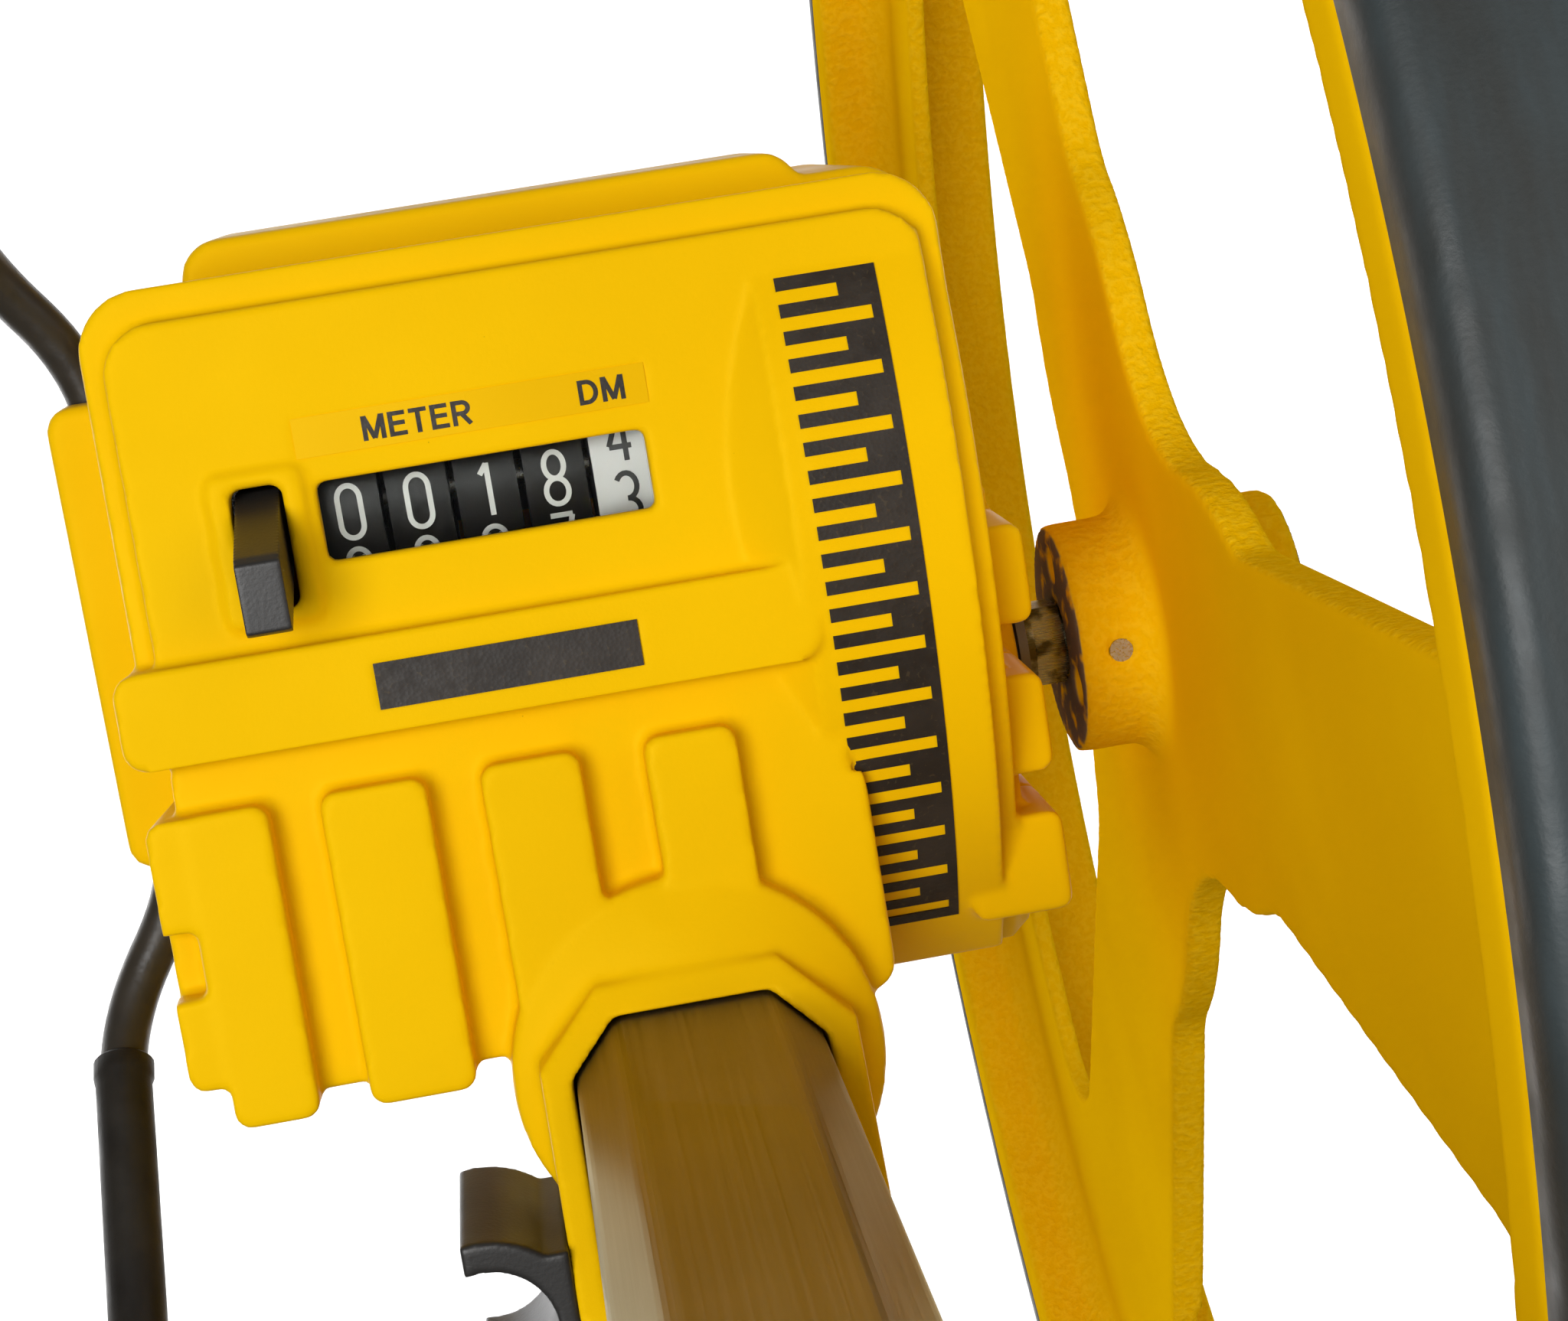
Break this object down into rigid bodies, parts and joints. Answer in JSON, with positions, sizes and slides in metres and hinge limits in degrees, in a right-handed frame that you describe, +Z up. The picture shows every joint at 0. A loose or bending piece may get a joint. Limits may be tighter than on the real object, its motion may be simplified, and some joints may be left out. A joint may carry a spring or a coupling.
{
  "type": "measuring wheel",
  "caption": "Walking distance-measuring wheel: rubber-tyred spoked wheel, geared drum counter in a moulded case, folding tube handle with pistol grip and a two-legged wire stand.",
  "frame": {"origin": "centre of the hanging hole in the hand grip", "axes": "+X along the hanging hole, from the counter case towards the wheel; +Z up along the handle tube; +Y forward, away from the user"},
  "size_m": [0.1355, 0.3183, 1.0266],
  "materials": {
    "tyre_rubber": "satin",
    "wheel_yellow": "satin",
    "zinc_steel": "dull",
    "steel": "satin",
    "bush_plastic": "matte",
    "gear_plastic": "matte",
    "case_yellow": "satin",
    "lens": "gloss",
    "label": "satin",
    "print_black": "satin",
    "frame_grey": "matte",
    "drum_black": "satin",
    "drum_white": "satin",
    "black_plastic": "satin",
    "wire_black": "satin",
    "sleeve_rubber": "matte",
    "tube_aluminium": "satin",
    "grip_black": "matte"
  },
  "bodies": {
    "case": {"axle_bush_outer": "bush_plastic", "axle_bush_inner": "bush_plastic", "front_shell": "case_yellow", "back_shell": "case_yellow", "case_screws": "steel", "window_lens": "lens", "label_strip": "label", "badge_plate": "print_black", "scale_strip": "print_black", "counter_frame": "frame_grey", "frame_screws": "steel", "idler_studs": "steel", "pinion_shaft": "steel", "reset_pin": "steel", "stand_clip": "black_plastic", "lower_tube": "tube_aluminium", "socket_screw": "steel", "hinge_fork": "black_plastic", "hinge_bolt": "steel", "fork_rivets": "steel"},
    "wheel": {"tyre": "tyre_rubber", "wheel_body": "wheel_yellow", "axle": "zinc_steel", "hub_pin": "steel", "hub_cap_nut": "zinc_steel", "axle_washers": "zinc_steel", "circlips": "steel", "axle_gear": "gear_plastic"},
    "counter": {"counter_gear": "gear_plastic", "drum_5": "drum_white", "drum_shaft": "steel"},
    "drum_1": {"drum_1": "drum_black"},
    "drum_2": {"drum_2": "drum_black"},
    "drum_3": {"drum_3": "drum_black"},
    "drum_4": {"drum_4": "drum_black"},
    "idler_a": {"idler_gear_a": "gear_plastic"},
    "idler_b": {"idler_gear_b": "gear_plastic"},
    "pinion_1": {"pinion_1": "gear_plastic"},
    "pinion_2": {"pinion_2": "gear_plastic"},
    "pinion_3": {"pinion_3": "gear_plastic"},
    "pinion_4": {"pinion_4": "gear_plastic"},
    "reset": {"reset_lever": "black_plastic"},
    "stand": {"stand_wire": "wire_black", "stand_sleeves": "sleeve_rubber"},
    "upper_handle": {"hinge_tongue": "black_plastic", "tongue_rivets": "steel", "upper_tube": "tube_aluminium", "grip_left": "grip_black", "grip_right": "grip_black", "grip_screws": "steel"},
    "lock": {"lock_knob": "black_plastic"}
  },
  "joints": [
    {"name": "wheel_spin", "type": "hinge", "parent": "case", "child": "wheel", "pos_m": [-0.0095, 0.13191, -0.84414], "axis": [1, 0, 0], "continuous": true},
    {"name": "counter_spin", "type": "hinge", "parent": "case", "child": "counter", "pos_m": [-0.0095, 0.16301, -0.81591], "axis": [1, 0, 0], "continuous": true},
    {"name": "idler_a_spin", "type": "hinge", "parent": "case", "child": "idler_a", "pos_m": [-0.0095, 0.13579, -0.82759], "axis": [1, 0, 0], "continuous": true},
    {"name": "idler_b_spin", "type": "hinge", "parent": "case", "child": "idler_b", "pos_m": [-0.0095, 0.14616, -0.81818], "axis": [1, 0, 0], "continuous": true},
    {"name": "drum_1_spin", "type": "hinge", "parent": "case", "child": "drum_1", "pos_m": [-0.0095, 0.16301, -0.81591], "axis": [1, 0, 0], "continuous": true},
    {"name": "drum_2_spin", "type": "hinge", "parent": "case", "child": "drum_2", "pos_m": [-0.0095, 0.16301, -0.81591], "axis": [1, 0, 0], "continuous": true},
    {"name": "drum_3_spin", "type": "hinge", "parent": "case", "child": "drum_3", "pos_m": [-0.0095, 0.16301, -0.81591], "axis": [1, 0, 0], "continuous": true},
    {"name": "drum_4_spin", "type": "hinge", "parent": "case", "child": "drum_4", "pos_m": [-0.0095, 0.16301, -0.81591], "axis": [1, 0, 0], "continuous": true},
    {"name": "pinion_1_spin", "type": "hinge", "parent": "case", "child": "pinion_1", "pos_m": [-0.0095, 0.16766, -0.82869], "axis": [1, 0, 0], "continuous": true},
    {"name": "pinion_2_spin", "type": "hinge", "parent": "case", "child": "pinion_2", "pos_m": [-0.0095, 0.16766, -0.82869], "axis": [1, 0, 0], "continuous": true},
    {"name": "pinion_3_spin", "type": "hinge", "parent": "case", "child": "pinion_3", "pos_m": [-0.0095, 0.16766, -0.82869], "axis": [1, 0, 0], "continuous": true},
    {"name": "pinion_4_spin", "type": "hinge", "parent": "case", "child": "pinion_4", "pos_m": [-0.0095, 0.16766, -0.82869], "axis": [1, 0, 0], "continuous": true},
    {"name": "reset_press", "type": "hinge", "parent": "case", "child": "reset", "pos_m": [-0.0095, 0.16441, -0.82014], "axis": [1, 0, 0], "range_deg": [0, 4], "stiffness_Nm_per_rad": 0.3, "springref_deg": -5.73},
    {"name": "stand_swing", "type": "hinge", "parent": "case", "child": "stand", "pos_m": [-0.049, 0.13191, -0.83264], "axis": [0, 1, 0], "range_deg": [-150, 10]},
    {"name": "handle_fold", "type": "hinge", "parent": "case", "child": "upper_handle", "pos_m": [-0.0095, 0.11691, -0.35414], "axis": [-1, 0, 0], "range_deg": [0, 180]},
    {"name": "lock_turn", "type": "hinge", "parent": "case", "child": "lock", "pos_m": [-0.0095, 0.11691, -0.35414], "axis": [1, 0, 0], "range_deg": [0, 360]}
  ],
  "couplings": [
    {"joint": "counter_spin", "follows": "wheel_spin", "ratio": -1},
    {"joint": "idler_a_spin", "follows": "wheel_spin", "ratio": -1.4286},
    {"joint": "idler_b_spin", "follows": "wheel_spin", "ratio": 1.4286},
    {"joint": "drum_4_spin", "follows": "wheel_spin", "ratio": -0.1},
    {"joint": "drum_3_spin", "follows": "wheel_spin", "ratio": -0.01},
    {"joint": "drum_2_spin", "follows": "wheel_spin", "ratio": -0.001},
    {"joint": "drum_1_spin", "follows": "wheel_spin", "ratio": -0.0001},
    {"joint": "pinion_4_spin", "follows": "wheel_spin", "ratio": 0.25},
    {"joint": "pinion_3_spin", "follows": "wheel_spin", "ratio": 0.025},
    {"joint": "pinion_2_spin", "follows": "wheel_spin", "ratio": 0.0025},
    {"joint": "pinion_1_spin", "follows": "wheel_spin", "ratio": 0.00025}
  ]
}
